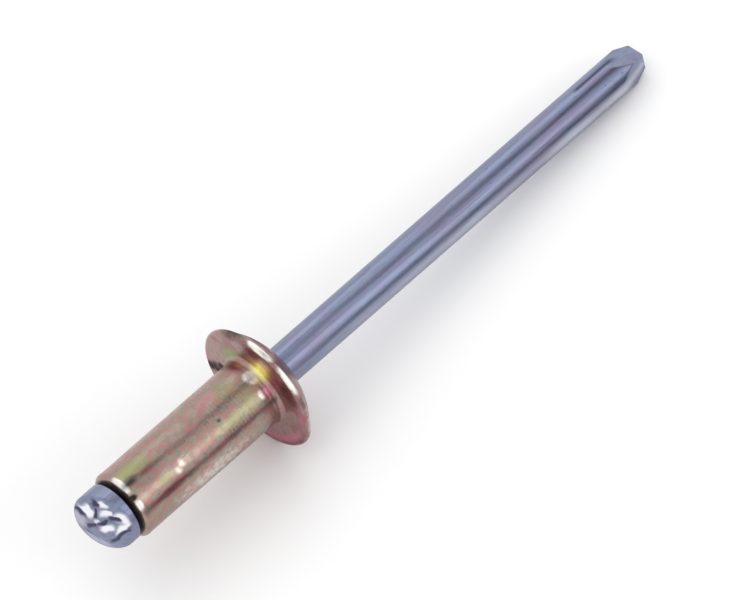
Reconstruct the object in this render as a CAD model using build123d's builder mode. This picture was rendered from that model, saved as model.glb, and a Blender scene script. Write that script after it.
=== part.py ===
from build123d import *
import os
from math import asin, atan2, cos, hypot, pi, sin

# Open-end blind rivet with a domed flange: a steel body on its headed pulling mandrel.
# It lies as it comes to rest, on the rim of the flange and a flat of the mandrel's point.
# Lengths are millimetres and angles are degrees. The origin is the middle of the bearing
# face, on the axis of the rivet. Heights along that axis are positive toward the point of
# the mandrel and negative toward the blind end. Angles round it start at the top.

# Rivet body
body_diameter = 4.0
body_length = 10.0
tail_rounding = 0.28
flange_diameter = 7.5
flange_height = 1.6
flange_fillet = 0.28
rim_thickness = 0.38
crown_diameter = 2.75
dome_bulge = 0.18
lip_rounding = 0.12

# Seat of the mandrel's head in the tail of the body, and the nick in the tail's edge
seat_depth = 0.16
nick_width = 0.28
nick_length = 0.27
nick_depth = 0.22
nick_angle = 38.6

# Mandrel
stem_diameter = 2.18
stem_clearance = 0.06
pull_length = 28.6
point_length = 2.0
point_end_width = 1.04
point_edge_angle = 45.0
head_diameter = 3.55
head_gap = 0.34
head_edge_rounding = 0.06
neck_diameter = 1.62
neck_width = 0.7
neck_depth = 1.9

# The head was upset a little askew, so the crown on its end stands out to one side
head_length = 1.59
crown_curve = 3.1
crown_shift = 0.75
crown_shift_angle = -108.9
crown_rounding = 0.25

# Worked out from the sizes above
body_radius = body_diameter / 2
flange_radius = flange_diameter / 2
rim_radius = rim_thickness / 2
rim_center = flange_radius - rim_radius
crown_radius = crown_diameter / 2
stem_radius = stem_diameter / 2
bore_radius = stem_radius + stem_clearance
seat_radius = bore_radius + seat_depth
head_radius = head_diameter / 2
head_base = -body_length - head_gap
head_end = head_base - head_length
point_start = pull_length - point_length
point_slope = (stem_radius - point_end_width / 2) / point_length

# The facet nearest the ground takes the stem's lowest line off a little past point_start
facet_turn = (point_edge_angle - 45) * pi / 180
rest_height = point_start + stem_radius * (1 - cos(facet_turn)) / point_slope

# The rim is half-round, so it touches the ground rim_radius outside its section's middle
fall = rim_center - stem_radius
reach = rest_height - rim_radius
tilt = atan2(fall, reach) + asin(rim_radius / hypot(fall, reach))

middle = Vector(0, 0, 0)
along = Vector(cos(tilt), 0, -sin(tilt))
top = Vector(sin(tilt), 0, cos(tilt))
axis = Axis(middle, along)


def sideways(angle: float) -> Vector:
    """The direction that leaves the rivet's axis at an angle round it from the top."""
    return top.rotate(axis, angle)


def lengthwise_plane(origin: Vector, y_dir: Vector, x_dir: Vector) -> Plane:
    """A plane with its x out to one side of the rivet and its y along it."""
    return Plane(origin=origin, x_dir=x_dir, z_dir=x_dir.cross(y_dir))


section = lengthwise_plane(middle, along, top)

# Rivet body: a tube with its flange headed on in one piece
with BuildPart() as rivet_body:
    with BuildSketch(section):
        with BuildLine():
            tail = Line((seat_radius, -body_length), (body_radius, -body_length))
            barrel = Line(tail @ 1, (body_radius, 0))
            bearing_face = Line(barrel @ 1, (rim_center, 0))
            rim = CenterArc((rim_center, rim_radius), rim_radius, -90, 180)
            dome = SagittaArc(rim @ 1, (crown_radius, flange_height), -dome_bulge)
            lip = Line(dome @ 1, (bore_radius, flange_height))
            bore = Line(lip @ 1, (bore_radius, seat_depth - body_length))
            Line(bore @ 1, tail @ 0)
        outline = make_face()
        fillet(outline.vertices().sort_by_distance(tail @ 1)[0], tail_rounding)
        fillet(vertices().sort_by_distance(barrel @ 1)[0], flange_fillet)
        fillet(vertices().sort_by_distance(lip @ 1)[0], lip_rounding)
    revolve(axis=axis)
    tail_edge = middle - along * body_length + sideways(nick_angle) * (body_radius - nick_depth)
    with BuildSketch(lengthwise_plane(tail_edge, along, sideways(nick_angle + 90))):
        Ellipse(nick_width / 2, nick_length)
    extrude(amount=2 * nick_depth, both=True, mode=Mode.SUBTRACT)
rivet_body.part.label = "rivet_body"

# Mandrel: the stem with its head, turned and cold formed from one wire
with BuildPart() as mandrel:
    with BuildSketch(section):
        with BuildLine():
            wall = Line((head_radius, head_end), (head_radius, head_base))
            seat_start = Line(wall @ 1, (seat_radius, -body_length))
            seat = Line(seat_start @ 1, (stem_radius, seat_depth + stem_clearance - body_length))
            stem = Line(seat @ 1, (stem_radius, pull_length))
            Polyline(stem @ 1, (0, pull_length), (0, head_end), wall @ 0)
        make_face()
        fillet(vertices().sort_by_distance(wall @ 1)[0], head_edge_rounding)
    revolve(axis=axis)

    # The neck where the mandrel breaks once the rivet is set
    neck_middle = neck_depth - body_length
    with BuildSketch(section):
        with BuildLine():
            Polyline(
                (stem_radius, neck_middle - neck_width / 2),
                (neck_diameter / 2, neck_middle),
                (stem_radius, neck_middle + neck_width / 2),
                close=True,
            )
        make_face()
    revolve(axis=axis, mode=Mode.SUBTRACT)

    # Four flats pinched on the end of the stem make its point
    for turn in range(4):
        flat_side = sideways(point_edge_angle + 45 + 90 * turn)
        flat_normal = flat_side + along * point_slope
        flat_start = along * point_start + flat_side * stem_radius
        split(bisect_by=Plane(origin=flat_start, z_dir=flat_normal), keep=Keep.BOTTOM)

    # The head's end is a shallow round crown, upset off the middle of the wire
    crown_side = sideways(crown_shift_angle)
    crown_top = along * (head_base - head_length) + crown_side * crown_shift
    with BuildSketch(lengthwise_plane(crown_top, along, crown_side)):
        with Locations((0, head_length)):
            Rectangle(head_diameter, 2 * head_length, align=(Align.MIN, Align.MAX))
        with Locations((0, crown_curve)):
            Circle(crown_curve, mode=Mode.SUBTRACT)
    revolve(axis=Axis(crown_top, along), mode=Mode.SUBTRACT)
    crown = faces().filter_by(GeomType.SPHERE)
    fillet(crown.edges().filter_by(GeomType.BSPLINE), crown_rounding)
mandrel.part.label = "mandrel"

os.makedirs("parts", exist_ok=True)
for piece in (rivet_body, mandrel):
    export_step(piece.part, f"parts/{piece.part.label}.step")
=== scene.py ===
"""Dresses the blind rivet: dense meshes of its two pieces, their plated finishes and a plain studio.

Sizes are millimetres and angles are degrees until a point is placed in the scene. A point
of the rivet is given by its height along the axis (positive toward the mandrel's point),
its distance from the axis, and an angle round the axis that starts at the top and grows
toward -Y. This is the frame that the CAD source uses.
"""

import logging
from abc import ABC, abstractmethod
from dataclasses import dataclass, field
from enum import Enum
from math import acos, asin, atan2, cos, degrees, hypot, pi, radians, sin, sqrt, tan
from typing import ClassVar

import bmesh
import bpy
from mathutils import Matrix, Vector, noise

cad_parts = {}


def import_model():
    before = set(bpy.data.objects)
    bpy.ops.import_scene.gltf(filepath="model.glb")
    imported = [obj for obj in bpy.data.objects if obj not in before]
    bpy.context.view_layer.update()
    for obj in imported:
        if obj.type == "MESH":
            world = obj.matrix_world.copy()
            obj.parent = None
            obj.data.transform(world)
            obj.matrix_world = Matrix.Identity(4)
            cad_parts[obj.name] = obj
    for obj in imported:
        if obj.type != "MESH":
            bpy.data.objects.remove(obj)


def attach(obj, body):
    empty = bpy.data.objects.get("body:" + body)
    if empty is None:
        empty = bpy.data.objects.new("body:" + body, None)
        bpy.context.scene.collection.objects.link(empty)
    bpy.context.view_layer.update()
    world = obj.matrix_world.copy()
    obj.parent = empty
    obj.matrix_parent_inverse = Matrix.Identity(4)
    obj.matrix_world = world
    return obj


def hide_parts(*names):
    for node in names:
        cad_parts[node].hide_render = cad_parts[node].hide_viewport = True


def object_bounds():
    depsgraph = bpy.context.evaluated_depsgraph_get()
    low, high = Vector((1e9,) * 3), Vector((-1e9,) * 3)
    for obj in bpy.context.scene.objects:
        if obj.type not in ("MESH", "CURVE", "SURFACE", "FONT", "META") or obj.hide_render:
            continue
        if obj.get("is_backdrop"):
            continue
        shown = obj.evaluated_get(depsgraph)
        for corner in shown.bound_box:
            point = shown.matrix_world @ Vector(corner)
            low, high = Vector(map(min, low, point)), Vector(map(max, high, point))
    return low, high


LOG = logging.getLogger("blind_rivet")
MILLIMETRE = 0.001

# Points of a mesh nearer than this are one point, in metres
SAME_POINT = 1e-7
# An edge whose faces meet at more than this is drawn sharp
SHARP_EDGE = 28.0
# The side of the rivet that the photograph shows, as an angle round its axis
PHOTO_SIDE = 37.0
# A noise texture wavers round this value
NOISE_MIDDLE = 0.5
# The Mix node's colour sockets, which share their names with its other ones
MIX_FIRST, MIX_SECOND, MIX_RESULT = 6, 7, 2

Colour = tuple[float, float, float]
Point = tuple[float, float]


@dataclass(frozen=True)
class RivetAxis:
    """The rivet's axis as it lies, and the places round it.

    Attributes:
        tilt: How far the axis dips below the horizontal toward the mandrel's point.
    """

    tilt: float

    @property
    def along(self) -> Vector:
        """The direction along the axis, toward the mandrel's point."""
        return Vector((cos(radians(self.tilt)), 0.0, -sin(radians(self.tilt))))

    @property
    def top(self) -> Vector:
        """The direction square to the axis that points most nearly up."""
        return Vector((sin(radians(self.tilt)), 0.0, cos(radians(self.tilt))))

    def side(self, angle: float) -> Vector:
        """The direction that leaves the axis at an angle round it."""
        turn = radians(angle)
        return self.top * cos(turn) + Vector((0.0, -1.0, 0.0)) * sin(turn)

    def place(self, height: float, radius: float, angle: float) -> Vector:
        """A point of the rivet in the scene.

        Args:
            height: Distance along the axis.
            radius: Distance from the axis.
            angle: Angle round the axis.

        Returns:
            The point, in metres.
        """
        return (self.along * height + self.side(angle) * radius) * MILLIMETRE


def line(start: Point, end: Point, count: int) -> list[Point]:
    """Points evenly spaced from a start up to, but without, an end.

    Args:
        start: The first point, as height and radius.
        end: The point that the next stretch starts from.
        count: How many points to give.

    Returns:
        The points.
    """
    steps = [index / count for index in range(count)]
    return [(start[0] + (end[0] - start[0]) * s, start[1] + (end[1] - start[1]) * s) for s in steps]


def rounding(before: Point, corner: Point, after: Point, radius: float, count: int) -> list[Point]:
    """Points round a corner whose edge is rounded off.

    Args:
        before: A point on the stretch that comes to the corner.
        corner: The sharp corner.
        after: A point on the stretch that leaves it.
        radius: The rounding's radius.
        count: How many points to give, the two tangent points included.

    Returns:
        The points, in order.
    """
    inward = (Vector(before) - Vector(corner)).normalized()
    outward = (Vector(after) - Vector(corner)).normalized()
    half = acos(max(-1.0, min(1.0, inward.dot(outward)))) / 2
    reach = radius / tan(half)
    middle = Vector(corner) + (inward + outward).normalized() * (radius / sin(half))
    first = Vector(corner) + inward * reach - middle
    last = Vector(corner) + outward * reach - middle
    sweep = first.angle_signed(last)
    points = []
    for index in range(count):
        spoke = first.copy()
        spoke.rotate(Matrix.Rotation(-sweep * index / (count - 1), 2))
        points.append(tuple(middle + spoke))
    return points


def fade(value: float) -> float:
    """A smooth fall from 1 at value 0 to 0 at value 1 and beyond."""
    rest = max(0.0, 1.0 - value)
    return rest * rest * (3.0 - 2.0 * rest)


def turn_from(start: float, angle: float) -> float:
    """The shorter way round from a start to an angle, from -180 to 180."""
    return (angle - start + 180.0) % 360.0 - 180.0


class Mark(Enum):
    """What marks a surface at a point, as named in the mesh."""

    # Painted highlights, glints and reflections: bright colour standing in for light.
    PAINTED_HIGHLIGHT = "painted_highlight"
    # Painted shade and shadow in gaps, recesses and folds, painted dimming of reflections, and dark spots,
    # specks and lines.
    DARK = "dark"
    GOLD = "gold"
    CRIMSON = "crimson"
    ORANGE = "orange"
    OLIVE = "olive"
    ROSE = "rose"


class Slot(Enum):
    """The record's material slots."""

    BODY = "yellow_passivated_steel"
    MANDREL = "zinc_plated_steel"


@dataclass(frozen=True)
class Grain:
    """A cloudy noise on the rivet.

    Attributes:
        size: The size of its features along the rivet and across it.
        seed: An offset that makes one noise unlike another.
        detail: How many finer layers it has.
    """

    size: tuple[float, float, float]
    seed: float
    detail: float = 2.0


@dataclass(frozen=True)
class Rise:
    """How something comes in as a value goes up.

    Attributes:
        low: The value where it starts.
        high: The value from which it is there in full.
        full: How strong it is then.
    """

    low: float
    high: float
    full: float = 1.0


class Socket:
    """A shader value that can be calculated with like a number."""

    def __init__(self, graph: "Graph", output: bpy.types.NodeSocket) -> None:
        """Wraps an output socket of a graph's node."""
        self.graph = graph
        self.output = output

    def _math(self, operation: str, first: "Socket | float", second: "Socket | float") -> "Socket":
        """A Math node on two values."""
        return self.graph.node("ShaderNodeMath", {"operation": operation}, {0: first, 1: second})

    def __add__(self, other: "Socket | float") -> "Socket":
        """self + other."""
        return self._math("ADD", self, other)

    def __radd__(self, other: float) -> "Socket":
        """other + self."""
        return self._math("ADD", other, self)

    def __sub__(self, other: "Socket | float") -> "Socket":
        """self - other."""
        return self._math("SUBTRACT", self, other)

    def __rsub__(self, other: float) -> "Socket":
        """other - self."""
        return self._math("SUBTRACT", other, self)

    def __mul__(self, other: "Socket | float") -> "Socket":
        """self * other."""
        return self._math("MULTIPLY", self, other)

    def __rmul__(self, other: float) -> "Socket":
        """other * self."""
        return self._math("MULTIPLY", other, self)


class Graph:
    """A material's node tree, with a Principled shader at its end."""

    def __init__(self, name: str) -> None:
        """Starts an empty material.

        Args:
            name: The material's name.
        """
        self.material = bpy.data.materials.new(name)
        self.material.use_nodes = True
        self.tree = self.material.node_tree
        self.shader = self.tree.nodes["Principled BSDF"]

    def node(self, kind: str, settings: dict, inputs: dict, output: int | str = 0) -> Socket:
        """Adds any node.

        Args:
            kind: The node's type name.
            settings: Its properties, which are set first.
            inputs: Its inputs by name or index, as values or sockets.
            output: The output to give back.

        Returns:
            The chosen output.
        """
        made = self.tree.nodes.new(kind)
        for key, value in settings.items():
            setattr(made, key, value)
        for key, value in inputs.items():
            self.feed(made.inputs[key], value)
        return Socket(self, made.outputs[output])

    def feed(self, target: bpy.types.NodeSocket, value: "Socket | float | tuple") -> None:
        """Links a socket to an input, or sets the input's value.

        Args:
            target: The input.
            value: The socket, number, vector or colour that it gets.
        """
        if isinstance(value, Socket):
            self.tree.links.new(value.output, target)
        elif isinstance(value, tuple) and target.type == "RGBA":
            target.default_value = (*value, 1.0)
        else:
            target.default_value = value

    def position(self, tilt: float) -> Socket:
        """Places on the rivet, turned so that X lies along its axis.

        Args:
            tilt: How far the axis dips.

        Returns:
            The place, in metres.
        """
        place = self.node("ShaderNodeTexCoord", {}, {}, "Object")
        turned = (0.0, -radians(tilt), 0.0)
        return self.node("ShaderNodeMapping", {}, {"Vector": place, "Rotation": turned})

    def grain(self, place: Socket, grain: Grain) -> Socket:
        """Cloudy noise.

        Args:
            place: Where the noise is read.
            grain: Its size, seed and detail.

        Returns:
            A value from about 0.2 to 0.8, round NOISE_MIDDLE.
        """
        scale = tuple(1.0 / (size * MILLIMETRE) for size in grain.size)
        offset = (grain.seed, 2.0 * grain.seed, -grain.seed)
        spot = self.node("ShaderNodeMapping", {}, {"Vector": place, "Scale": scale, "Location": offset})
        inputs = {"Vector": spot, "Scale": 1.0, "Detail": grain.detail}
        return self.node("ShaderNodeTexNoise", {}, inputs)

    def mark(self, mark: Mark) -> Socket:
        """How strongly a surface is marked, from a value that its mesh carries at each point."""
        return self.node("ShaderNodeAttribute", {"attribute_name": mark.value}, {}, "Fac")

    def rise(self, value: Socket, rise: Rise) -> Socket:
        """How strong something is at a value.

        Args:
            value: The value.
            rise: How it comes in as the value goes up.

        Returns:
            Its strength, with a smooth start and end.
        """
        settings = {"interpolation_type": "SMOOTHSTEP", "clamp": True}
        inputs = {"Value": value, "From Min": rise.low, "From Max": rise.high, "To Max": rise.full}
        return self.node("ShaderNodeMapRange", settings, inputs)

    def mix(self, share: "Socket | float", first: "Socket | Colour", second: "Socket | Colour") -> Socket:
        """A colour between two.

        Args:
            share: How much of the second colour it has.
            first: The colour where share is 0.
            second: The colour where share is 1.

        Returns:
            The colour.
        """
        settings = {"data_type": "RGBA", "clamp_factor": True}
        inputs = {0: share, MIX_FIRST: first, MIX_SECOND: second}
        return self.node("ShaderNodeMix", settings, inputs, MIX_RESULT)

    def bump(self, height: Socket, depth: float) -> Socket:
        """A surface normal from a height of 0 to 1, over a depth."""
        inputs = {"Height": height, "Distance": depth * MILLIMETRE, "Strength": 1.0}
        return self.node("ShaderNodeBump", {}, inputs)

    def dress(self, **values: "Socket | float | Colour") -> bpy.types.Material:
        """Finishes the material.

        Args:
            **values: The Principled shader's inputs, with _ for each space.

        Returns:
            The material.
        """
        for name, value in values.items():
            self.feed(self.shader.inputs[name.replace("_", " ")], value)
        return self.material


@dataclass(frozen=True)
class YellowPassivate:
    """Yellow chromate over zinc, with the pinks, greens and golds of a film of uneven thickness.

    Attributes:
        plain: The colour that most of the barrel has.
        salmon: Where the film is a little thicker.
        moss: The grey-green that is mottled into it.
        mauve: What most of the flange has.
        orange: The film's orange at the edge of the gold, also used for small painted glints at the barrel's
            foot.
        olive: The greenish patches.
        gold: The film's yellow, made into a painted highlight on the flange's underside beside the fillet.
        rose: The pink patches.
        crimson: The thickest film, also used as painted darkening along the dark reflected lines on the
            barrel.
        dark: The dark mark's colour: painted shade in the nick and in the gaps at the tail and at the stem's
            foot, painted dimming of the barrel's reflections, a black speck, and dark spots on the rim,
            dome, barrel and bearing face.
        painted_highlight: Painted highlights and glints on the tail's edge, the rim and the barrel, and a
            painted reflection along the barrel's lower side.
        broad: The slowest change of the film.
        patch: Its patches on the flange.
        cloud: Its clouds.
        mottle: Its mottling.
        speck: Its specks.
        salmon_share: Salmon by the clouds.
        moss_share: Moss by the mottling.
        olive_share: Olive by the slowest change.
        plain_share: The plain colour on the flange, by the patches.
        crimson_share: Crimson on the flange, by clouds and slowest change together.
        speck_share: Crimson specks.
        flange_share: The flange's colours, by the height along the rivet.
        ragged: How the clouds fray the edge of a mark.
        fraying: How much of a mark they take at most.
        darkening_fraying: How much of the dark mark they take.
        darkening_least: How much of it stays.
        highlight_rise: How the painted highlights come in, by their mark and the mottling.
        highlight_mottle: How much the mottling counts there.
        darkening_dulling: How far the dark mark hides the metal.
        darkening_roughness: How much rougher it is there.
        roughness: How widely the film spreads a reflection.
        roughness_range: How much that changes with the clouds.
        cloud_relief: How high the clouds stand.
        mottle_relief: How high the mottling stands.
        speck_relief: How high the specks stand.
        relief_depth: The height that 1 stands for.
        ripple_pitch: From one drawn ring to the next.
        ripple_end: Where the rings stop short of the flange, by height.
        ripple_growth: How they grow up the barrel, by height.
        ripple_least: How high they stand at the tail.
    """

    plain: Colour = (0.36, 0.285, 0.24)
    salmon: Colour = (0.45, 0.205, 0.20)
    moss: Colour = (0.24, 0.26, 0.20)
    mauve: Colour = (0.40, 0.235, 0.235)
    orange: Colour = (0.85, 0.40, 0.17)
    olive: Colour = (0.29, 0.31, 0.15)
    gold: Colour = (0.95, 0.86, 0.30)
    rose: Colour = (0.60, 0.20, 0.29)
    crimson: Colour = (0.24, 0.07, 0.08)
    dark: Colour = (0.04, 0.03, 0.03)
    painted_highlight: Colour = (0.92, 0.90, 0.82)
    broad: Grain = Grain((3.2, 1.6, 1.6), seed=3.1)
    patch: Grain = Grain((1.5, 1.1, 1.1), seed=8.4, detail=3.0)
    cloud: Grain = Grain((0.55, 0.4, 0.4), seed=15.2, detail=4.0)
    mottle: Grain = Grain((0.34, 0.26, 0.26), seed=27.9, detail=3.0)
    speck: Grain = Grain((0.16, 0.13, 0.13), seed=21.7)
    salmon_share: Rise = Rise(0.40, 0.62, full=0.75)
    moss_share: Rise = Rise(0.50, 0.64, full=0.65)
    olive_share: Rise = Rise(0.56, 0.70, full=0.5)
    plain_share: Rise = Rise(0.50, 0.68, full=0.5)
    crimson_share: Rise = Rise(0.94, 1.20, full=0.5)
    speck_share: Rise = Rise(0.66, 0.76, full=0.35)
    flange_share: Rise = Rise(-0.6, 0.1, full=0.8)
    ragged: Rise = Rise(0.30, 0.55)
    fraying: float = 0.4
    darkening_fraying: float = 0.3
    darkening_least: float = 0.85
    highlight_rise: Rise = Rise(0.50, 1.15)
    highlight_mottle: float = 0.6
    darkening_dulling: float = 0.9
    darkening_roughness: float = 0.5
    roughness: float = 0.31
    roughness_range: float = 0.25
    cloud_relief: float = 0.45
    mottle_relief: float = 0.3
    speck_relief: float = 0.12
    relief_depth: float = 0.035
    ripple_pitch: float = 0.23
    ripple_end: Rise = Rise(-2.2, -1.0)
    ripple_growth: Rise = Rise(-5.0, -3.6, full=0.22)
    ripple_least: float = 0.10

    def material(self, tilt: float) -> bpy.types.Material:
        """The finish as a material.

        Args:
            tilt: How far the rivet's axis dips.

        Returns:
            The material.
        """
        graph = Graph("yellow_passivate")
        place = graph.position(tilt)
        cloud = graph.grain(place, self.cloud)
        mottle = graph.grain(place, self.mottle)
        speck = graph.grain(place, self.speck)
        height = graph.node("ShaderNodeSeparateXYZ", {}, {0: place}, "X") * (1.0 / MILLIMETRE)
        # The dark mark: mostly painted shade and dimmed reflections, with some dark spots.
        darkening = graph.mark(Mark.DARK)
        tone = self._film(graph, place, height, cloud, mottle, speck)
        tone = self._marked(graph, tone, cloud, mottle, darkening)
        relief = cloud * self.cloud_relief + mottle * self.mottle_relief + speck * self.speck_relief
        relief = relief + self._ripples(graph, height)
        clean = self.roughness + (cloud - NOISE_MIDDLE) * self.roughness_range
        return graph.dress(
            Base_Color=tone,
            Metallic=1.0 - darkening * self.darkening_dulling,
            Roughness=clean + darkening * self.darkening_roughness,
            Normal=graph.bump(relief, self.relief_depth),
        )

    def _film(
        self, graph: Graph, place: Socket, height: Socket, cloud: Socket, mottle: Socket, speck: Socket
    ) -> Socket:
        """The colour of the film without its marks.

        Args:
            graph: The material's graph.
            place: Places on the rivet.
            height: Heights along it.
            cloud: The film's clouds.
            mottle: Its mottling.
            speck: Its specks.

        Returns:
            The colour.
        """
        broad = graph.grain(place, self.broad)
        patch = graph.grain(place, self.patch)
        barrel = graph.mix(graph.rise(cloud, self.salmon_share), self.plain, self.salmon)
        barrel = graph.mix(graph.rise(mottle, self.moss_share), barrel, self.moss)
        barrel = graph.mix(graph.rise(broad, self.olive_share), barrel, self.olive)
        flange = graph.mix(graph.rise(patch, self.plain_share), self.mauve, self.plain)
        flange = graph.mix(graph.rise(cloud + broad, self.crimson_share), flange, self.crimson)
        tone = graph.mix(graph.rise(height, self.flange_share), barrel, flange)
        return graph.mix(graph.rise(speck, self.speck_share), tone, self.crimson)

    def _marked(self, graph: Graph, tone: Socket, cloud: Socket, mottle: Socket, darkening: Socket) -> Socket:
        """A colour with the film's colour patches, its painted highlights and its dark mark over it.

        Args:
            graph: The material's graph.
            tone: The colour.
            cloud: The film's clouds, which fray the colour patches and the dark mark.
            mottle: Its mottling, which frays the painted highlights.
            darkening: Where the dark mark is, mostly painted shade and dimmed reflections.

        Returns:
            The colour with them.
        """
        # Film colours; gold, orange and crimson also serve as painted highlights and darkened reflections.
        body_patches = {
            Mark.OLIVE: self.olive,
            Mark.ROSE: self.rose,
            Mark.CRIMSON: self.crimson,
            Mark.ORANGE: self.orange,
            Mark.GOLD: self.gold,
        }
        ragged = graph.rise(cloud, self.ragged)
        for mark, colour in body_patches.items():
            share = graph.mark(mark) * (ragged * self.fraying + (1.0 - self.fraying))
            tone = graph.mix(share, tone, colour)
        # Painted highlights: bright colour where the mark stands in for reflected light.
        amount = graph.rise(graph.mark(Mark.PAINTED_HIGHLIGHT) + mottle * self.highlight_mottle, self.highlight_rise)
        tone = graph.mix(amount, tone, self.painted_highlight)
        # Darkened by the dark mark: painted shade, dimmed reflections and dark spots.
        return graph.mix(darkening * (ragged * self.darkening_fraying + self.darkening_least), tone, self.dark)

    def _ripples(self, graph: Graph, height: Socket) -> Socket:
        """The fine rings that drawing left across the barrel.

        Args:
            graph: The material's graph.
            height: Heights along the rivet.

        Returns:
            How high they stand.
        """
        turns = height * (2 * pi / self.ripple_pitch)
        wave = graph.node("ShaderNodeMath", {"operation": "SINE"}, {0: turns})
        barrel = 1.0 - graph.rise(height, self.ripple_end)
        return (wave * 0.5 + 0.5) * barrel * (graph.rise(height, self.ripple_growth) + self.ripple_least)


@dataclass(frozen=True)
class ZincPlate:
    """Bright, bluish zinc over drawn wire.

    Attributes:
        plain: The colour of most of it.
        lilac: The warmer clouds in it.
        teal: The greener clouds in it.
        dark: Its specks and drawing lines, and the dark mark's colour: painted shadow under the head,
            painted shade in the head's folds, and the line pressed in by the pinching dies.
        painted_highlight: Painted highlights on the head's hollows, and a painted reflection along one side
            of the stem.
        cloud: Its clouds.
        drawn: The streaks that drawing left along the wire.
        speck: Its specks.
        blur: Its smaller clouds.
        lilac_share: Lilac by the clouds.
        drawn_share: Dark by the streaks.
        teal_share: Teal by the smaller clouds.
        speck_share: Dark by the specks.
        roughness: How widely it spreads a reflection.
        roughness_range: How much that changes with the clouds.
        drawn_relief: How high the streaks stand.
        speck_relief: How high the specks stand.
        relief_depth: The height that 1 stands for.
    """

    plain: Colour = (0.235, 0.265, 0.385)
    lilac: Colour = (0.265, 0.255, 0.375)
    teal: Colour = (0.24, 0.33, 0.40)
    dark: Colour = (0.07, 0.07, 0.12)
    painted_highlight: Colour = (0.88, 0.88, 0.93)
    cloud: Grain = Grain((2.4, 0.9, 0.9), seed=5.3, detail=3.0)
    drawn: Grain = Grain((9.0, 0.16, 0.16), seed=11.8, detail=3.0)
    speck: Grain = Grain((0.22, 0.12, 0.12), seed=17.4)
    blur: Grain = Grain((0.9, 0.35, 0.35), seed=23.6, detail=3.0)
    lilac_share: Rise = Rise(0.40, 0.62)
    drawn_share: Rise = Rise(0.48, 0.70, full=0.35)
    teal_share: Rise = Rise(0.50, 0.66, full=0.3)
    speck_share: Rise = Rise(0.66, 0.76, full=0.6)
    roughness: float = 0.38
    roughness_range: float = 0.2
    drawn_relief: float = 0.6
    speck_relief: float = 0.3
    relief_depth: float = 0.02

    def material(self, tilt: float) -> bpy.types.Material:
        """The finish as a material.

        Args:
            tilt: How far the rivet's axis dips.

        Returns:
            The material.
        """
        graph = Graph("zinc_plate")
        place = graph.position(tilt)
        cloud = graph.grain(place, self.cloud)
        drawn = graph.grain(place, self.drawn)
        speck = graph.grain(place, self.speck)
        blur = graph.grain(place, self.blur)
        tone = graph.mix(graph.rise(cloud, self.lilac_share), self.plain, self.lilac)
        tone = graph.mix(graph.rise(drawn, self.drawn_share), tone, self.dark)
        tone = graph.mix(graph.rise(blur, self.teal_share), tone, self.teal)
        tone = graph.mix(graph.rise(speck, self.speck_share), tone, self.dark)
        # The dark mark: painted shadow under the head, painted shade in its folds, and the die line.
        tone = graph.mix(graph.mark(Mark.DARK), tone, self.dark)
        # Painted highlights on the head and a painted reflection along the stem.
        tone = graph.mix(graph.mark(Mark.PAINTED_HIGHLIGHT), tone, self.painted_highlight)
        relief = drawn * self.drawn_relief + speck * self.speck_relief
        return graph.dress(
            Base_Color=tone,
            Metallic=1.0,
            Roughness=self.roughness + (cloud - NOISE_MIDDLE) * self.roughness_range,
            Normal=graph.bump(relief, self.relief_depth),
        )


@dataclass
class Turned(ABC):
    """A piece made by carrying a meridian round the rivet's axis.

    Attributes:
        node: The CAD node that it stands for.
        slot: The material slot of that node.
        shown: The marks that its mesh carries.
        closed: Whether the meridian's last point joins its first, as round a bore.
        axis: The rivet's axis.
        columns: How many meridians the mesh has.
    """

    node: ClassVar[str]
    slot: ClassVar[Slot]
    shown: ClassVar[tuple[Mark, ...]]
    closed: ClassVar[bool]

    axis: RivetAxis
    columns: int = 320

    @abstractmethod
    def marks(self, height: float, distance: float, angle: float) -> dict[Mark, float]:
        """How strongly each mark shows at a point.

        Args:
            height: The point's height along the axis.
            distance: Its distance from the axis.
            angle: Its angle round the axis.

        Returns:
            The strength of each mark, from 0 to 1.
        """

    @abstractmethod
    def meridian(self, angle: float) -> list[Point]:
        """The outline at one side of the axis.

        Args:
            angle: That side's angle round the axis.

        Returns:
            The points as height and distance, as many at every angle.
        """

    def build(self, material: bpy.types.Material) -> bpy.types.Object:
        """Builds the piece, dresses it and lets it stand for its CAD node.

        Args:
            material: The finish.

        Returns:
            The piece.
        """
        data = self._skin()
        data.materials.append(material)
        piece = bpy.data.objects.new(f"{self.node}_dressed", data)
        bpy.context.scene.collection.objects.link(piece)
        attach(piece, "root")
        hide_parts(self.node)
        LOG.info("%s: %d faces", piece.name, len(data.polygons))
        return piece

    def _skin(self) -> bpy.types.Mesh:
        """The piece's surface, smooth but for its sharp edges.

        Returns:
            The mesh.
        """
        mesh = bmesh.new()
        grid = self._points(mesh)
        rows = len(grid[0])
        for here, beside in zip(grid, grid[1:] + grid[:1]):
            for row in range(rows if self.closed else rows - 1):
                after = (row + 1) % rows
                mesh.faces.new((here[row], beside[row], beside[after], here[after]))
        bmesh.ops.remove_doubles(mesh, verts=mesh.verts, dist=SAME_POINT)
        bmesh.ops.recalc_face_normals(mesh, faces=mesh.faces)
        for face in mesh.faces:
            face.smooth = True
        for edge in mesh.edges:
            edge.smooth = edge.calc_face_angle(0.0) < radians(SHARP_EDGE)
        data = bpy.data.meshes.new(self.node)
        mesh.to_mesh(data)
        mesh.free()
        return data

    def _points(self, mesh: bmesh.types.BMesh) -> list[list[bmesh.types.BMVert]]:
        """Lays the mesh's points, each with how strongly it is marked.

        Args:
            mesh: The mesh that gets them.

        Returns:
            The points of each meridian.
        """
        layers = {mark: mesh.verts.layers.float.new(mark.value) for mark in self.shown}
        grid = []
        for column in range(self.columns):
            angle = 360.0 * column / self.columns
            grid.append([])
            for height, distance in self.meridian(angle):
                vertex = mesh.verts.new(self.axis.place(height, distance, angle))
                for mark, strength in self.marks(height, distance, angle).items():
                    vertex[layers[mark]] = strength
                grid[-1].append(vertex)
        return grid


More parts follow.
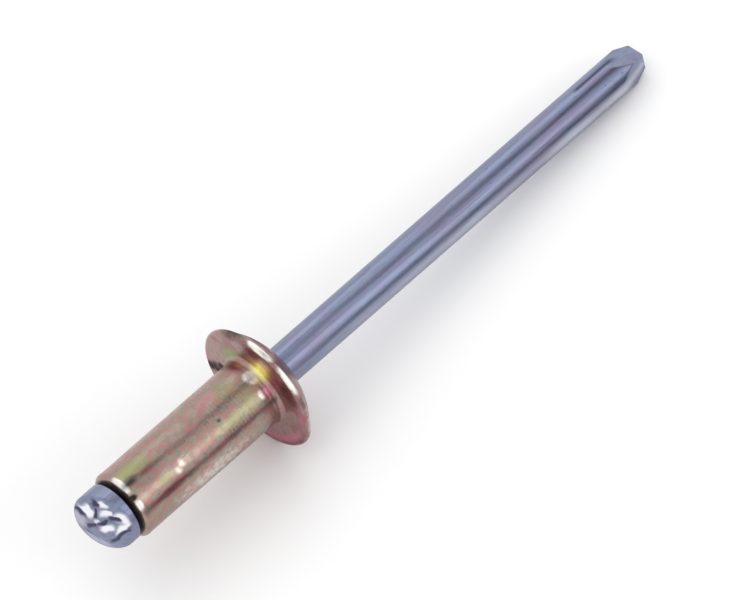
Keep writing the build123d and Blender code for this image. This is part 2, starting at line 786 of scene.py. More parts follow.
@dataclass(frozen=True)
class BodyPatch:
    """A patch on the body with a colour of its own: a patch of the film, a painted highlight or glint, or
    painted shade.

    Attributes:
        mark: What shows there.
        height: Where its middle lies along the rivet.
        distance: How far its middle lies from the axis.
        angle: Its middle's angle round the rivet.
        tall: Half its size along the rivet and away from the axis.
        broad: Half its size round the rivet, in degrees.
        strength: How strongly it shows in its middle.
    """

    mark: Mark
    height: float
    distance: float
    angle: float
    tall: float
    broad: float
    strength: float = 1.0

    def at(self, height: float, distance: float, angle: float) -> float:
        """How strongly it shows at a point of the body."""
        off = hypot(height - self.height, distance - self.distance) / self.tall
        return self.strength * fade(hypot(off, turn_from(self.angle, angle) / self.broad))


@dataclass
class RivetBody(Turned):
    """The tubular body with its domed flange.

    Attributes:
        body_radius: The barrel's radius.
        body_length: The barrel's length, from the bearing face to the tail.
        tail_rounding: Rounding of the tail's edge.
        flange_radius: The flange's radius.
        flange_height: From the bearing face to the flat on the dome.
        flange_fillet: Fillet between the barrel and the bearing face.
        rim_thickness: Thickness of the flange's half-round rim.
        crown_radius: Radius of the flat on the dome.
        dome_bulge: How far the dome stands out of a straight cone.
        lip_rounding: Rounding of the bore's edge in that flat.
        bore_radius: The bore's radius.
        seat_depth: Depth of the countersink in the tail.
        nick_half_width: Half the width of the nick in the tail's edge.
        nick_length: How far the nick reaches up the barrel.
        nick_depth: How deep it is.
        nick_angle: Its angle round the rivet.
        nick_shade_reach: How far out of the nick its painted shade is full, where 1 is its outline.
        unevenness: How much the barrel's slight dents differ in depth.
        dent_size: How broad they are.
        dented_from: The height where they start.
        dented_to: The height where they end.
        body_patches: Its patches of other colours, with painted highlights, glints, painted shadows and
            dimmed reflections among them.
    """

    node: ClassVar[str] = "rivet_body"
    slot: ClassVar[Slot] = Slot.BODY
    shown: ClassVar[tuple[Mark, ...]] = tuple(Mark)
    closed: ClassVar[bool] = True

    body_radius: float = 2.0
    body_length: float = 10.0
    tail_rounding: float = 0.28
    flange_radius: float = 3.75
    flange_height: float = 1.6
    flange_fillet: float = 0.28
    rim_thickness: float = 0.38
    crown_radius: float = 1.375
    dome_bulge: float = 0.18
    lip_rounding: float = 0.12
    bore_radius: float = 1.15
    seat_depth: float = 0.16
    nick_half_width: float = 0.14
    nick_length: float = 0.27
    nick_depth: float = 0.22
    nick_angle: float = 38.6
    nick_shade_reach: float = 0.7
    unevenness: float = 0.012
    dent_size: float = 1.4
    dented_from: float = -9.6
    dented_to: float = -0.4
    body_patches: tuple[BodyPatch, ...] = (
        # Painted highlights on the tail's rounded edge.
        BodyPatch(Mark.PAINTED_HIGHLIGHT, height=-9.88, distance=1.95, angle=11.0, tall=0.38, broad=34.0, strength=1.2),
        BodyPatch(Mark.PAINTED_HIGHLIGHT, height=-9.90, distance=1.94, angle=54.0, tall=0.42, broad=17.0, strength=1.1),
        # Painted highlights on the rim's wall.
        BodyPatch(Mark.PAINTED_HIGHLIGHT, height=0.22, distance=3.75, angle=15.0, tall=0.38, broad=22.0, strength=1.6),
        BodyPatch(Mark.PAINTED_HIGHLIGHT, height=0.22, distance=3.75, angle=50.0, tall=0.38, broad=26.0, strength=1.2),
        BodyPatch(Mark.PAINTED_HIGHLIGHT, height=0.30, distance=3.70, angle=96.0, tall=0.45, broad=32.0, strength=0.6),
        # Painted glints on the barrel's bright band.
        BodyPatch(Mark.PAINTED_HIGHLIGHT, height=-6.60, distance=2.0, angle=46.0, tall=0.50, broad=15.0, strength=0.62),
        BodyPatch(Mark.PAINTED_HIGHLIGHT, height=-6.95, distance=2.0, angle=53.0, tall=0.45, broad=13.0, strength=0.62),
        # Painted glints at the barrel's foot.
        BodyPatch(Mark.PAINTED_HIGHLIGHT, height=-0.55, distance=2.0, angle=18.0, tall=0.60, broad=20.0, strength=1.5),
        BodyPatch(Mark.PAINTED_HIGHLIGHT, height=-0.75, distance=2.0, angle=49.0, tall=0.32, broad=15.0, strength=0.8),
        # A painted reflection that lightens the barrel's lower side.
        BodyPatch(Mark.PAINTED_HIGHLIGHT, height=-5.0, distance=2.0, angle=98.0, tall=6.5, broad=38.0, strength=0.53),
        # The film's gold and orange, made into a painted highlight beside the fillet.
        BodyPatch(Mark.GOLD, height=-0.05, distance=2.33, angle=21.0, tall=0.76, broad=27.0, strength=1.5),
        BodyPatch(Mark.ORANGE, height=0.0, distance=3.0, angle=26.0, tall=0.48, broad=19.0, strength=0.9),
        # Small painted orange glints at the barrel's foot.
        BodyPatch(Mark.ORANGE, height=-0.35, distance=2.05, angle=-13.0, tall=0.28, broad=15.0, strength=0.5),
        BodyPatch(Mark.ROSE, height=-0.35, distance=2.05, angle=51.0, tall=0.42, broad=18.0, strength=0.9),
        BodyPatch(Mark.ROSE, height=0.0, distance=3.15, angle=45.0, tall=0.28, broad=10.0, strength=1.0),
        BodyPatch(Mark.ROSE, height=0.0, distance=3.28, angle=150.0, tall=0.48, broad=58.0, strength=1.6),
        BodyPatch(Mark.ROSE, height=0.0, distance=3.40, angle=88.0, tall=0.38, broad=32.0, strength=0.8),
        BodyPatch(Mark.ROSE, height=-3.0, distance=2.0, angle=-4.0, tall=0.9, broad=18.0, strength=0.45),
        BodyPatch(Mark.ROSE, height=-9.0, distance=2.0, angle=-26.0, tall=1.2, broad=12.0, strength=0.4),
        BodyPatch(Mark.OLIVE, height=0.0, distance=2.38, angle=-40.0, tall=0.55, broad=34.0, strength=1.3),
        BodyPatch(Mark.OLIVE, height=0.0, distance=2.50, angle=-6.0, tall=0.45, broad=16.0),
        BodyPatch(Mark.OLIVE, height=-8.9, distance=2.0, angle=2.0, tall=1.5, broad=26.0),
        BodyPatch(Mark.OLIVE, height=-7.85, distance=2.0, angle=49.0, tall=0.9, broad=13.0, strength=0.8),
        BodyPatch(Mark.OLIVE, height=-2.8, distance=2.0, angle=49.0, tall=2.4, broad=15.0, strength=0.8),
        BodyPatch(Mark.CRIMSON, height=0.0, distance=3.25, angle=7.0, tall=0.50, broad=17.0, strength=1.4),
        BodyPatch(Mark.CRIMSON, height=0.0, distance=3.1, angle=60.0, tall=0.75, broad=36.0, strength=1.6),
        BodyPatch(Mark.CRIMSON, height=0.1, distance=3.65, angle=146.0, tall=0.42, broad=58.0, strength=1.5),
        BodyPatch(Mark.CRIMSON, height=0.75, distance=3.20, angle=-10.0, tall=0.62, broad=62.0, strength=1.3),
        BodyPatch(Mark.CRIMSON, height=-0.5, distance=2.03, angle=-20.0, tall=0.48, broad=26.0, strength=1.3),
        # Crimson along the barrel's dark reflected lines, a painted darkening of the reflections.
        BodyPatch(Mark.CRIMSON, height=-7.8, distance=2.0, angle=68.0, tall=2.6, broad=9.0, strength=1.2),
        BodyPatch(Mark.CRIMSON, height=-3.4, distance=2.0, angle=69.0, tall=2.8, broad=8.0, strength=0.6),
        BodyPatch(Mark.CRIMSON, height=-8.3, distance=2.0, angle=19.0, tall=1.6, broad=9.0, strength=0.7),
        # Painted darkening of the upper dark reflected line near the tail.
        BodyPatch(Mark.DARK, height=-9.40, distance=2.0, angle=17.0, tall=0.85, broad=11.0, strength=1.1),
        # Painted shade that dims the barrel's upper bright band.
        BodyPatch(Mark.DARK, height=-4.7, distance=2.0, angle=2.0, tall=7.5, broad=17.0, strength=0.16),
        # Painted shadow on the tail's end, in the gap round the mandrel's head.
        BodyPatch(Mark.DARK, height=-10.0, distance=1.50, angle=0.0, tall=0.36, broad=1000.0, strength=1.4),
        BodyPatch(Mark.DARK, height=0.25, distance=3.70, angle=-16.0, tall=0.60, broad=26.0, strength=0.8),
        BodyPatch(Mark.DARK, height=0.80, distance=3.05, angle=0.0, tall=0.55, broad=42.0, strength=0.6),
        # Painted shadow in the gap between the bore's lip and the stem.
        BodyPatch(Mark.DARK, height=1.45, distance=1.65, angle=46.0, tall=0.95, broad=42.0, strength=1.3),
        BodyPatch(Mark.DARK, height=0.25, distance=3.72, angle=71.0, tall=0.40, broad=13.0, strength=0.45),
        BodyPatch(Mark.DARK, height=-8.6, distance=2.0, angle=33.0, tall=1.10, broad=10.0, strength=0.25),
        BodyPatch(Mark.DARK, height=-3.5, distance=2.0, angle=35.5, tall=0.20, broad=5.0, strength=1.2),
        BodyPatch(Mark.DARK, height=0.0, distance=3.38, angle=-96.0, tall=0.45, broad=8.0, strength=1.5),
        BodyPatch(Mark.DARK, height=0.0, distance=2.94, angle=-94.0, tall=0.50, broad=11.0, strength=1.5),
        BodyPatch(Mark.DARK, height=0.0, distance=2.50, angle=-88.0, tall=0.45, broad=10.0, strength=1.4),
    )

    def meridian(self, angle: float) -> list[Point]:
        """The outline from the tail's seat, outside, over the flange and back down the bore.

        Args:
            angle: The outline's angle round the axis.

        Returns:
            Its points.
        """
        tail, radius = -self.body_length, self.body_radius
        seat = (tail, self.bore_radius + self.seat_depth)
        tail_corner = (tail, radius)
        foot = (0.0, radius)
        bearing = (0.0, self.flange_radius - self.rim_thickness / 2)
        lip = (self.flange_height, self.bore_radius)
        inner = (tail + self.seat_depth, self.bore_radius)
        tail_arc = rounding(seat, tail_corner, foot, self.tail_rounding, count=12)
        foot_arc = rounding(tail_corner, foot, bearing, self.flange_fillet, count=12)
        dome = self._dome(count=24)
        lip_arc = rounding(dome[-1], lip, inner, self.lip_rounding, count=6)
        outline = line(seat, tail_arc[0], count=6)
        outline += tail_arc + line(tail_arc[-1], foot_arc[0], count=120)[1:]
        outline += foot_arc + line(foot_arc[-1], bearing, count=16)[1:]
        outline += self._rim(count=12) + dome
        outline += line(dome[-1], lip_arc[0], count=4)[1:]
        outline += lip_arc + line(lip_arc[-1], inner, count=20)[1:]
        outline += line(inner, seat, count=3)
        return [self._worn(height, distance, angle) for height, distance in outline]

    def marks(self, height: float, distance: float, angle: float) -> dict[Mark, float]:
        """How strongly each mark shows at a point, the nick's painted shade among them.

        Args:
            height: The point's height along the axis.
            distance: Its distance from the axis.
            angle: Its angle round the axis.

        Returns:
            The strength of each mark, which is 0 all over the bore.
        """
        strengths = dict.fromkeys(self.shown, 0.0)
        if distance < self.bore_radius + self.lip_rounding / 2:
            return strengths
        for body_patch in self.body_patches:
            strength = body_patch.at(height, distance, angle)
            strengths[body_patch.mark] = min(1.0, max(strengths[body_patch.mark], strength))
        # Painted shade in the nick.
        if distance > self.body_radius - self.tail_rounding - self.nick_depth:
            darkening = fade(max(0.0, self._nick(height, angle) - self.nick_shade_reach))
            strengths[Mark.DARK] = max(strengths[Mark.DARK], darkening)
        return strengths

    def _nick(self, height: float, angle: float) -> float:
        """How far out of the nick a point lies: 0 in its middle, 1 on its outline."""
        across = radians(turn_from(self.nick_angle, angle)) * self.body_radius / self.nick_half_width
        return hypot(across, (height + self.body_length) / self.nick_length)

    def _rim(self, count: int) -> list[Point]:
        """The half-round rim.

        Args:
            count: How many points to give.

        Returns:
            Its points, without the last.
        """
        half = self.rim_thickness / 2
        middle = self.flange_radius - half
        turns = [pi * index / count for index in range(count)]
        return [(half - half * cos(turn), middle + half * sin(turn)) for turn in turns]

    def _dome(self, count: int) -> list[Point]:
        """The dome from the rim to the flat round its crown.

        Args:
            count: How many stretches it has.

        Returns:
            Its points, with both ends.
        """
        start = Vector((self.rim_thickness, self.flange_radius - self.rim_thickness / 2))
        end = Vector((self.flange_height, self.crown_radius))
        chord = end - start
        outward = Vector((-chord.y, chord.x)).normalized()
        points = []
        for index in range(count + 1):
            share = index / count
            bulge = 4.0 * self.dome_bulge * share * (1.0 - share)
            points.append(tuple(start + chord * share + outward * bulge))
        return points

    def _worn(self, height: float, distance: float, angle: float) -> Point:
        """A point of the outline with the nick in the tail and the barrel's slight dents.

        Args:
            height: The point's height along the axis.
            distance: Its distance from the axis.
            angle: Its angle round the axis.

        Returns:
            The point, moved in toward the axis.
        """
        if distance < self.bore_radius + self.seat_depth:
            return height, distance
        if self._nick(height, angle) < 1.0:
            distance -= self.nick_depth
        if self.dented_from < height < self.dented_to:
            spot = self.axis.place(height, self.body_radius, angle) / (self.dent_size * MILLIMETRE)
            distance += self.unevenness * (noise.noise(spot) - 1.0)
        return height, distance


@dataclass(frozen=True)
class Facet:
    """A hollow that the heading die left on the head's end; the facets get a painted highlight on their
    floor, and the creases painted shade.

    Attributes:
        near: How far it lies from the axis toward the camera's side of the rivet.
        across: How far it lies from the axis a quarter turn further round.
        long: Half its length, along near.
        wide: Half its width.
        turn: How far its length is turned from near toward across.
        strength: How strongly it shows in its middle.
    """

    near: float
    across: float
    long: float
    wide: float
    turn: float = 0.0
    strength: float = 1.0

    def reach(self, near: float, across: float) -> float:
        """How far out a point lies.

        Args:
            near: How far the point lies from the axis toward the camera's side.
            across: How far it lies a quarter turn further round.

        Returns:
            0 in the middle, 1 on the outline.
        """
        turn = radians(self.turn)
        off_near, off_across = near - self.near, across - self.across
        along = off_near * cos(turn) + off_across * sin(turn)
        beside = off_across * cos(turn) - off_near * sin(turn)
        return hypot(along / self.long, beside / self.wide)


@dataclass(frozen=True)
class Wrinkles:
    """The wrinkles that upsetting left on the head's end.

    Attributes:
        scale: How many there are to a millimetre.
        depth: How deep they are.
        place: Where their noise is read, which makes one set unlike another.
    """

    scale: float
    depth: float
    place: tuple[float, float, float]

    def at(self, spot: Vector) -> float:
        """How deep they are at a spot of the head's end."""
        return self.depth * abs(noise.noise(spot * self.scale + Vector(self.place)))


@dataclass
class Mandrel(Turned):
    """The headed wire that pulls the body's tail out, with its break neck and pinched point.

    Attributes:
        body: The body that it is seated in.
        stem_radius: The wire's radius.
        pull_length: From the body's bearing face to the end of the point.
        point_length: Length of the pinched point.
        point_end_width: Width of its square end.
        point_edge_angle: The angle of its first edge round the axis.
        head_radius: The head's radius.
        head_gap: From the body's tail to the head's straight side.
        head_length: The head's length at the top of its crown.
        head_edge_rounding: Rounding of the head's edge toward the body.
        neck_radius: The break neck's radius.
        neck_width: Its width.
        neck_depth: How far it lies inside the tail.
        crown_curve: Radius of the crown on the head's end.
        crown_shift: How far the crown's top lies off the axis.
        crown_shift_angle: On which side it lies.
        crown_rounding: Rounding of the crown's edge.
        wrinkles: The broader and the finer wrinkles on the crown.
        calm_from: Where the marks on the crown fade out, as a share of the way to its edge.
        facet_depth: How deep the facets are.
        crease_depth: How deep the creases are.
        raggedness: How far their outlines waver.
        raggedness_scale: How often they waver to a millimetre.
        near_place: Where the noise is read that shifts them toward the camera's side.
        across_place: Where the noise is read that shifts them across.
        full_reach: How far out of its middle a facet is at full depth, where 1 is its outline.
        fade_reach: Over how much more it fades.
        facing_angle: The side of the rivet that the facets' near is measured toward.
        facets: The hollows on the head's end, with painted highlights, and a faint painted sheen at its far
            side.
        creases: The folds between them, with painted shade.
        wall_start: How far below the head's base its end's marks stop.
        run_in: How far before the point its finer mesh starts.
        die_mark_angle: The angle of the line that the pinching dies left on the stem.
        die_mark_start: The height where that line starts.
        die_mark_width: Half its width.
        die_mark_depth: Its depth.
        die_mark_run_in: How far it takes to reach full depth.
        die_mark_run_out: Over what share of the point's length it fades.
        sheen_angle: The side of the stem where a painted reflection lightens the plating.
        sheen_breadth: How far round the stem that reaches to each side.
        sheen_strength: How strongly it shows at the point's end.
        sheen_start: What share of that shows beside the flange.
        sheen_patch: How large its patches are.
        sheen_level: What share of it is the same in every patch.
        sheen_change: How much of it changes from patch to patch.
    """

    node: ClassVar[str] = "mandrel"
    slot: ClassVar[Slot] = Slot.MANDREL
    shown: ClassVar[tuple[Mark, ...]] = (Mark.DARK, Mark.PAINTED_HIGHLIGHT)
    closed: ClassVar[bool] = False

    body: RivetBody = field(kw_only=True)
    stem_radius: float = 1.09
    pull_length: float = 28.6
    point_length: float = 2.0
    point_end_width: float = 1.04
    point_edge_angle: float = 45.0
    head_radius: float = 1.775
    head_gap: float = 0.34
    head_length: float = 1.59
    head_edge_rounding: float = 0.06
    neck_radius: float = 0.81
    neck_width: float = 0.7
    neck_depth: float = 1.9
    crown_curve: float = 3.1
    crown_shift: float = 0.75
    crown_shift_angle: float = -108.9
    crown_rounding: float = 0.25
    wrinkles: tuple[Wrinkles, ...] = (
        Wrinkles(scale=1.3, depth=0.05, place=(4.2, 0.7, 1.9)),
        Wrinkles(scale=2.9, depth=0.025, place=(1.1, 5.6, 2.4)),
    )
    calm_from: float = 0.88
    facet_depth: float = 0.05
    crease_depth: float = 0.07
    raggedness: float = 0.16
    raggedness_scale: float = 2.6
    near_place: float = 3.7
    across_place: float = 8.1
    full_reach: float = 0.55
    fade_reach: float = 0.65
    facing_angle: float = PHOTO_SIDE
    # Painted highlights on the head's end; the last two are a faint painted sheen.
    facets: tuple[Facet, ...] = (
        Facet(near=0.30, across=-1.00, long=0.66, wide=0.38, turn=48.0),
        Facet(near=0.45, across=-0.26, long=0.24, wide=0.19, turn=0.0, strength=0.8),
        Facet(near=1.36, across=-0.68, long=0.36, wide=0.19, turn=65.0),
        Facet(near=1.12, across=-0.20, long=0.33, wide=0.20, turn=65.0),
        Facet(near=0.55, across=0.36, long=0.46, wide=0.26, turn=40.0),
        Facet(near=1.46, across=0.50, long=0.46, wide=0.36, turn=60.0),
        Facet(near=0.95, across=0.92, long=0.76, wide=0.18, turn=-8.0),
        Facet(near=-0.75, across=-1.05, long=0.80, wide=0.50, turn=35.0, strength=0.30),
        Facet(near=-0.95, across=0.55, long=0.85, wide=0.42, turn=75.0, strength=0.22),
    )
    # Painted shade in the head's folds.
    creases: tuple[Facet, ...] = (
        Facet(near=-0.10, across=-0.26, long=0.42, wide=0.16, turn=20.0),
        Facet(near=0.68, across=-0.60, long=0.40, wide=0.14, turn=-45.0),
        Facet(near=0.62, across=0.02, long=0.40, wide=0.13, turn=20.0),
        Facet(near=1.14, across=0.28, long=0.44, wide=0.12, turn=75.0),
        Facet(near=0.42, across=1.06, long=0.95, wide=0.16, turn=5.0),
        Facet(near=-0.25, across=-1.25, long=0.60, wide=0.15, turn=60.0),
        Facet(near=1.08, across=-1.05, long=0.36, wide=0.15, turn=75.0),
        Facet(near=-0.70, across=0.05, long=0.50, wide=0.12, turn=85.0, strength=0.6),
    )
    wall_start: float = 0.15
    run_in: float = 2.6
    die_mark_angle: float = -11.0
    die_mark_start: float = 24.1
    die_mark_width: float = 0.24
    die_mark_depth: float = 0.05
    die_mark_run_in: float = 0.4
    die_mark_run_out: float = 0.6
    # A painted reflection that lightens the stem's lower side.
    sheen_angle: float = 94.0
    sheen_breadth: float = 34.0
    sheen_strength: float = 0.55
    sheen_start: float = 0.2
    sheen_patch: float = 1.8
    sheen_level: float = 0.8
    sheen_change: float = 0.5

    @property
    def head_base(self) -> float:
        """Where the head's straight side ends toward the body."""
        return -self.body.body_length - self.head_gap

    @property
    def seat_end(self) -> float:
        """Where the head's cone comes down to the stem."""
        return self.body.seat_depth + self.body.bore_radius - self.stem_radius - self.body.body_length

    @property
    def point_start(self) -> float:
        """Where the four flats begin."""
        return self.pull_length - self.point_length

    @property
    def point_slope(self) -> float:
        """How fast the flats close in."""
        return (self.stem_radius - self.point_end_width / 2) / self.point_length

    def meridian(self, angle: float) -> list[Point]:
        """The outline from the middle of the head's end to the middle of the point's end.

        Args:
            angle: The outline's angle round the axis.

        Returns:
            Its points.
        """
        tangent_step = 0.01
        edge = (self._crown(self.head_radius, angle), self.head_radius)
        inside = self.head_radius - tangent_step
        just_inside = (self._crown(inside, angle), inside)
        base = (self.head_base, self.head_radius)
        under = (-self.body.body_length, self.body.bore_radius + self.body.seat_depth)
        seated = (self.seat_end, self.stem_radius)
        crown_arc = rounding(just_inside, edge, base, self.crown_rounding, count=12)
        base_arc = rounding(edge, base, under, self.head_edge_rounding, count=5)
        neck = self.neck_depth - self.body.body_length
        neck_start = (neck - self.neck_width / 2, self.stem_radius)
        neck_end = (neck + self.neck_width / 2, self.stem_radius)
        outline = self._crown_rows(crown_arc[0][1], angle, count=36)
        outline += crown_arc + line(crown_arc[-1], base_arc[0], count=14)[1:]
        outline += base_arc + line(base_arc[-1], under, count=6)[1:]
        outline += line(under, seated, count=3) + line(seated, neck_start, count=6)
        outline += line(neck_start, (neck, self.neck_radius), count=5)
        outline += line((neck, self.neck_radius), neck_end, count=5)
        outline += line(neck_end, (self.point_start - self.run_in, self.stem_radius), count=90)
        outline += self._point_rows(angle, count=70, end_count=6)
        return [self._marked(height, distance, angle) for height, distance in outline]

    def marks(self, height: float, distance: float, angle: float) -> dict[Mark, float]:
        """How strongly a point gets a painted highlight, or is darkened.

        Args:
            height: The point's height along the axis.
            distance: Its distance from the axis.
            angle: Its angle round the axis.

        Returns:
            The strength of both marks.
        """
        # Painted shadow on the underside of the head, in the gap against the tail.
        if self.head_base < height < self.seat_end:
            return {Mark.DARK: 1.0, Mark.PAINTED_HIGHLIGHT: 0.0}
        if height > self.head_base - self.wall_start:
            line_mark = self._die_mark(height, distance, angle)
            return {Mark.DARK: line_mark, Mark.PAINTED_HIGHLIGHT: self._painted_sheen(height, distance, angle)}
        inside = min(1.0, (self.head_radius - distance) / (self.crown_rounding / 2))
        # Painted highlights on the facets and painted shade in the creases.
        facet_highlight = self._strongest(self.facets, distance, angle) * inside
        crease_shade = self._strongest(self.creases, distance, angle) * inside
        return {Mark.DARK: crease_shade, Mark.PAINTED_HIGHLIGHT: facet_highlight * (1.0 - crease_shade)}

    def _crown(self, distance: float, angle: float) -> float:
        """The height of the head's end.

        Args:
            distance: Distance from the axis.
            angle: Angle round the axis.

        Returns:
            The height there.
        """
        turn = radians(angle - self.crown_shift_angle)
        off = distance**2 + self.crown_shift**2 - 2 * distance * self.crown_shift * cos(turn)
        end = self.head_base - self.head_length
        return end + self.crown_curve - sqrt(self.crown_curve**2 - off)

    def _crown_rows(self, reach: float, angle: float, count: int) -> list[Point]:
        """The crown from its middle up to where its rounding starts, with its forging wrinkles.

        Args:
            reach: The distance from the axis where the rounding starts.
            angle: Angle round the axis.
            count: How many points to give.

        Returns:
            The points, without the rounding's first.
        """
        rows = []
        for index in range(count):
            distance = reach * index / count
            spot = self.axis.side(angle) * distance
            calm = fade(max(0.0, distance / reach - self.calm_from) / (1.0 - self.calm_from))
            amount = sum(wrinkles.at(spot) for wrinkles in self.wrinkles)
            amount += self.facet_depth * self._strongest(self.facets, distance, angle)
            amount += self.crease_depth * self._strongest(self.creases, distance, angle)
            rows.append((self._crown(distance, angle) + amount * calm, distance))
        return rows

    def _strongest(self, spots: tuple[Facet, ...], distance: float, angle: float) -> float:
        """How strongly any of some spots marks a point of the head's end.

        Args:
            spots: The facets or the creases.
            distance: The point's distance from the axis.
            angle: Its angle round the axis.

        Returns:
            The strength of the one that shows most, from 0 to 1.
        """
        turn = radians(angle - self.facing_angle)
        near, across = distance * cos(turn), distance * sin(turn)
        scale = self.raggedness_scale
        near += self.raggedness * noise.noise(Vector((near * scale, across * scale, self.near_place)))
        across += self.raggedness * noise.noise(Vector((near * scale, across * scale, self.across_place)))
        strengths = []
        for spot in spots:
            past = max(0.0, spot.reach(near, across) - self.full_reach)
            strengths.append(spot.strength * fade(past / self.fade_reach))
        return max(strengths)

    def _point_rows(self, angle: float, count: int, end_count: int) -> list[Point]:
        """The end of the stem, with its four flats, and its small square end.

        Args:
            angle: Angle round the axis.
            count: How many stretches the stem's end has.
            end_count: How many the square end has.

        Returns:
            The points, up to the axis.
        """
        turn = radians((angle - self.point_edge_angle) % 90.0 - 45.0)
        rows = []
        for index in range(count + 1):
            height = self.point_start - self.run_in + (self.point_length + self.run_in) * index / count
            flat = self.stem_radius - (height - self.point_start) * self.point_slope
            rows.append((height, min(self.stem_radius, flat / cos(turn))))
        rim = rows[-1][1]
        left = [step / end_count for step in reversed(range(end_count))]
        return rows + [(self.pull_length, rim * share) for share in left]

    def _marked(self, height: float, distance: float, angle: float) -> Point:
        """A point of the outline with the die mark pressed in."""
        return height, distance - self.die_mark_depth * self._die_mark(height, distance, angle)

    def _die_mark(self, height: float, distance: float, angle: float) -> float:
        """How strongly the line that the pinching dies left on the stem shows at a point.

        Args:
            height: The point's height along the axis.
            distance: Its distance from the axis.
            angle: Its angle round the axis.

        Returns:
            The strength, from 0 to 1.
        """
        if height < self.die_mark_start or distance < self.stem_radius / 2:
            return 0.0
        across = abs(radians(turn_from(self.die_mark_angle, angle))) * self.stem_radius / self.die_mark_width
        ends = fade(max(0.0, height - self.point_start) / (self.die_mark_run_out * self.point_length))
        return min(1.0, (height - self.die_mark_start) / self.die_mark_run_in) * fade(across) * ends

    def _painted_sheen(self, height: float, distance: float, angle: float) -> float:
        """How strongly a painted reflection lightens one side of the stem, most toward its point.

        Args:
            height: The point's height along the axis.
            distance: Its distance from the axis.
            angle: Its angle round the axis.

        Returns:
            The strength.
        """
        foot = self.body.flange_height
        if height < foot or distance < self.stem_radius / 2:
            return 0.0
        turn = abs(turn_from(self.sheen_angle, angle))
        spot = self.axis.place(height, distance, angle) / (self.sheen_patch * MILLIMETRE)
        patchy = self.sheen_level + self.sheen_change * noise.noise(spot)
        way = (height - foot) / (self.pull_length - foot)
        share = self.sheen_start + (1.0 - self.sheen_start) * way
        return self.sheen_strength * share * patchy * fade(turn / self.sheen_breadth)


@dataclass(frozen=True)
class PhotoView:
    """Where the photograph was taken from.

    Attributes:
        side_angle: The angle round the rivet that faces the camera.
        lean: How far the camera stands toward the head's end, off square to the axis.
        picture_turn: How steeply the rivet's axis climbs in the picture.
        aim_right: How far right of the bearing face's middle the picture's middle is.
        aim_up: How far above it that is.
        picture_width: The width that the picture takes in at the rivet.
        lens: Focal length of the lens.
        sensor: Width of the sensor.
        nearest: The nearest that the camera sees, in metres.
        farthest: The farthest that it sees, in metres.
    """

    side_angle: float = PHOTO_SIDE
    lean: float = 22.6
    picture_turn: float = 41.15
    aim_right: float = 5.696
    aim_up: float = 4.639
    picture_width: float = 37.86
    lens: float = 1100.0
    sensor: float = 36.0
    nearest: float = 0.01
    farthest: float = 5.0

    def place(self, axis: RivetAxis) -> bpy.types.Object:
        """Places the scene's camera.

        Args:
            axis: The rivet's axis.

        Returns:
            The camera.
        """
        lean, turn = radians(self.lean), radians(self.picture_turn)
        lengthwise = axis.along * cos(lean) + axis.side(self.side_angle) * sin(lean)
        across = axis.side(self.side_angle + 90.0)
        right = lengthwise * cos(turn) + across * sin(turn)
        up = lengthwise * sin(turn) - across * cos(turn)
        back = right.cross(up)
        aim = (right * self.aim_right + up * self.aim_up) * MILLIMETRE
        distance = self.picture_width * self.lens / self.sensor * MILLIMETRE
        data = bpy.data.cameras.new("photo_camera")
        data.lens = self.lens
        data.sensor_width = self.sensor
        data.clip_start = self.nearest
        data.clip_end = self.farthest
        camera = bpy.data.objects.new("photo_camera", data)
        turned = Matrix((right, up, back)).transposed().to_4x4()
        camera.matrix_world = Matrix.Translation(aim + back * distance) @ turned
        bpy.context.scene.collection.objects.link(camera)
        bpy.context.scene.camera = camera
        LOG.info("camera stands %.0f mm off, looking back along %s", distance / MILLIMETRE, back)
        return camera


@dataclass(frozen=True)
class Card:
    """A lamp's face, or a dark card, that one strip of the stem mirrors to the camera.

    Attributes:
        across: Angle round the stem, from the side that faces the camera, of that strip.
        width: The card's width round the rivet.
        length: Its length along the rivet.
        brightness: How bright a lamp's face is, where 1 is white.
    """

    across: float
    width: float
    length: float
    brightness: float = 0.0


